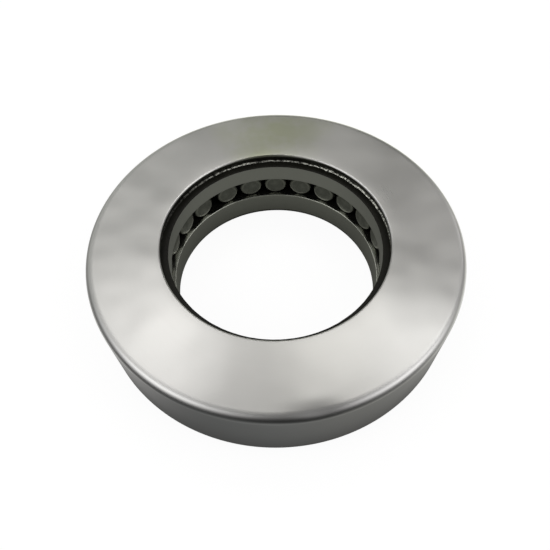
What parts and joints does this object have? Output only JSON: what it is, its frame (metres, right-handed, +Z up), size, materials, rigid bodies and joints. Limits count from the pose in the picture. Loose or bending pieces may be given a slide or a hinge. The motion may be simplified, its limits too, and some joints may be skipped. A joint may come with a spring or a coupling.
{
  "type": "tapered roller thrust bearing",
  "caption": "Cageless tapered roller thrust bearing for a steering pivot: raceway rings and a full set of loose rollers, held together by a pressed-steel cover.",
  "frame": {"origin": "centre of the lower race's bottom face, on the bearing's axis", "axes": "+Z up along the bearing's axis, from the lower race to the cover; +Y towards the rollers that show in the open bore; +X to the right of them"},
  "size_m": [0.0664, 0.0664, 0.0159],
  "materials": {
    "cover": "satin, fine unidirectional and circular polishing marks",
    "upper_race": "ground bore, dark oiled top face",
    "lower_race": "ground bore, dark chamfers",
    "rollers": "fine ground, oiled"
  },
  "bodies": {
    "lower_race": {"lower_race": "lower_race"},
    "upper_assembly": {"cover": "cover", "upper_race": "upper_race"},
    "roller_01": {"roller_01": "rollers"},
    "roller_02": {"roller_02": "rollers"},
    "roller_03": {"roller_03": "rollers"},
    "roller_04": {"roller_04": "rollers"},
    "roller_05": {"roller_05": "rollers"},
    "roller_06": {"roller_06": "rollers"},
    "roller_07": {"roller_07": "rollers"},
    "roller_08": {"roller_08": "rollers"},
    "roller_09": {"roller_09": "rollers"},
    "roller_10": {"roller_10": "rollers"},
    "roller_11": {"roller_11": "rollers"},
    "roller_12": {"roller_12": "rollers"},
    "roller_13": {"roller_13": "rollers"},
    "roller_14": {"roller_14": "rollers"},
    "roller_15": {"roller_15": "rollers"},
    "roller_16": {"roller_16": "rollers"},
    "roller_17": {"roller_17": "rollers"},
    "roller_18": {"roller_18": "rollers"},
    "roller_19": {"roller_19": "rollers"},
    "roller_20": {"roller_20": "rollers"},
    "roller_21": {"roller_21": "rollers"},
    "roller_22": {"roller_22": "rollers"},
    "roller_23": {"roller_23": "rollers"},
    "roller_24": {"roller_24": "rollers"}
  },
  "joints": [
    {"name": "upper_race_spin", "type": "hinge", "parent": "lower_race", "child": "upper_assembly", "pos_m": [0, 0, 0.00789], "axis": [0, 0, 1], "continuous": true},
    {"name": "roller_set_orbit", "type": "hinge", "parent": "lower_race", "child": "roller_01", "pos_m": [0, 0, 0.00789], "axis": [0, 0, 1], "continuous": true},
    {"name": "roller_02_spin", "type": "hinge", "parent": "roller_01", "child": "roller_02", "pos_m": [0, 0, 0.00789], "axis": [-0.2334, 0.9724, 0], "continuous": true},
    {"name": "roller_03_spin", "type": "hinge", "parent": "roller_01", "child": "roller_03", "pos_m": [0, 0, 0.00789], "axis": [0.0227, 0.9997, 0], "continuous": true},
    {"name": "roller_04_spin", "type": "hinge", "parent": "roller_01", "child": "roller_04", "pos_m": [0, 0, 0.00789], "axis": [0.2773, 0.9608, 0], "continuous": true},
    {"name": "roller_05_spin", "type": "hinge", "parent": "roller_01", "child": "roller_05", "pos_m": [0, 0, 0.00789], "axis": [0.5135, 0.8581, 0], "continuous": true},
    {"name": "roller_06_spin", "type": "hinge", "parent": "roller_01", "child": "roller_06", "pos_m": [0, 0, 0.00789], "axis": [0.7157, 0.6984, 0], "continuous": true},
    {"name": "roller_07_spin", "type": "hinge", "parent": "roller_01", "child": "roller_07", "pos_m": [0, 0, 0.00789], "axis": [0.8704, 0.4924, 0], "continuous": true},
    {"name": "roller_08_spin", "type": "hinge", "parent": "roller_01", "child": "roller_08", "pos_m": [0, 0, 0.00789], "axis": [0.9673, 0.2538, 0], "continuous": true},
    {"name": "roller_09_spin", "type": "hinge", "parent": "roller_01", "child": "roller_09", "pos_m": [0, 0, 0.00789], "axis": [1, -0.0017, 0], "continuous": true},
    {"name": "roller_10_spin", "type": "hinge", "parent": "roller_01", "child": "roller_10", "pos_m": [0, 0, 0.00789], "axis": [0.9664, -0.2571, 0], "continuous": true},
    {"name": "roller_11_spin", "type": "hinge", "parent": "roller_01", "child": "roller_11", "pos_m": [0, 0, 0.00789], "axis": [0.8686, -0.4955, 0], "continuous": true},
    {"name": "roller_12_spin", "type": "hinge", "parent": "roller_01", "child": "roller_12", "pos_m": [0, 0, 0.00789], "axis": [0.7133, -0.7009, 0], "continuous": true},
    {"name": "roller_13_spin", "type": "hinge", "parent": "roller_01", "child": "roller_13", "pos_m": [0, 0, 0.00789], "axis": [0.4741, -0.8805, 0], "continuous": true},
    {"name": "roller_14_spin", "type": "hinge", "parent": "roller_01", "child": "roller_14", "pos_m": [0, 0, 0.00789], "axis": [0.2334, -0.9724, 0], "continuous": true},
    {"name": "roller_15_spin", "type": "hinge", "parent": "roller_01", "child": "roller_15", "pos_m": [0, 0, 0.00789], "axis": [-0.0227, -0.9997, 0], "continuous": true},
    {"name": "roller_16_spin", "type": "hinge", "parent": "roller_01", "child": "roller_16", "pos_m": [0, 0, 0.00789], "axis": [-0.2773, -0.9608, 0], "continuous": true},
    {"name": "roller_17_spin", "type": "hinge", "parent": "roller_01", "child": "roller_17", "pos_m": [0, 0, 0.00789], "axis": [-0.5135, -0.8581, 0], "continuous": true},
    {"name": "roller_18_spin", "type": "hinge", "parent": "roller_01", "child": "roller_18", "pos_m": [0, 0, 0.00789], "axis": [-0.7157, -0.6984, 0], "continuous": true},
    {"name": "roller_19_spin", "type": "hinge", "parent": "roller_01", "child": "roller_19", "pos_m": [0, 0, 0.00789], "axis": [-0.8704, -0.4924, 0], "continuous": true},
    {"name": "roller_20_spin", "type": "hinge", "parent": "roller_01", "child": "roller_20", "pos_m": [0, 0, 0.00789], "axis": [-0.9673, -0.2538, 0], "continuous": true},
    {"name": "roller_21_spin", "type": "hinge", "parent": "roller_01", "child": "roller_21", "pos_m": [0, 0, 0.00789], "axis": [-1, 0.0017, 0], "continuous": true},
    {"name": "roller_22_spin", "type": "hinge", "parent": "roller_01", "child": "roller_22", "pos_m": [0, 0, 0.00789], "axis": [-0.9664, 0.2571, 0], "continuous": true},
    {"name": "roller_23_spin", "type": "hinge", "parent": "roller_01", "child": "roller_23", "pos_m": [0, 0, 0.00789], "axis": [-0.8686, 0.4955, 0], "continuous": true},
    {"name": "roller_24_spin", "type": "hinge", "parent": "roller_01", "child": "roller_24", "pos_m": [0, 0, 0.00789], "axis": [-0.7133, 0.7009, 0], "continuous": true}
  ],
  "couplings": [
    {"joint": "roller_set_orbit", "follows": "upper_race_spin", "ratio": 0.5},
    {"joint": "roller_02_spin", "follows": "upper_race_spin", "ratio": -4.1528},
    {"joint": "roller_03_spin", "follows": "upper_race_spin", "ratio": -4.1528},
    {"joint": "roller_04_spin", "follows": "upper_race_spin", "ratio": -4.1528},
    {"joint": "roller_05_spin", "follows": "upper_race_spin", "ratio": -4.1528},
    {"joint": "roller_06_spin", "follows": "upper_race_spin", "ratio": -4.1528},
    {"joint": "roller_07_spin", "follows": "upper_race_spin", "ratio": -4.1528},
    {"joint": "roller_08_spin", "follows": "upper_race_spin", "ratio": -4.1528},
    {"joint": "roller_09_spin", "follows": "upper_race_spin", "ratio": -4.1528},
    {"joint": "roller_10_spin", "follows": "upper_race_spin", "ratio": -4.1528},
    {"joint": "roller_11_spin", "follows": "upper_race_spin", "ratio": -4.1528},
    {"joint": "roller_12_spin", "follows": "upper_race_spin", "ratio": -4.1528},
    {"joint": "roller_13_spin", "follows": "upper_race_spin", "ratio": -4.1528},
    {"joint": "roller_14_spin", "follows": "upper_race_spin", "ratio": -4.1528},
    {"joint": "roller_15_spin", "follows": "upper_race_spin", "ratio": -4.1528},
    {"joint": "roller_16_spin", "follows": "upper_race_spin", "ratio": -4.1528},
    {"joint": "roller_17_spin", "follows": "upper_race_spin", "ratio": -4.1528},
    {"joint": "roller_18_spin", "follows": "upper_race_spin", "ratio": -4.1528},
    {"joint": "roller_19_spin", "follows": "upper_race_spin", "ratio": -4.1528},
    {"joint": "roller_20_spin", "follows": "upper_race_spin", "ratio": -4.1528},
    {"joint": "roller_21_spin", "follows": "upper_race_spin", "ratio": -4.1528},
    {"joint": "roller_22_spin", "follows": "upper_race_spin", "ratio": -4.1528},
    {"joint": "roller_23_spin", "follows": "upper_race_spin", "ratio": -4.1528},
    {"joint": "roller_24_spin", "follows": "upper_race_spin", "ratio": -4.1528}
  ]
}
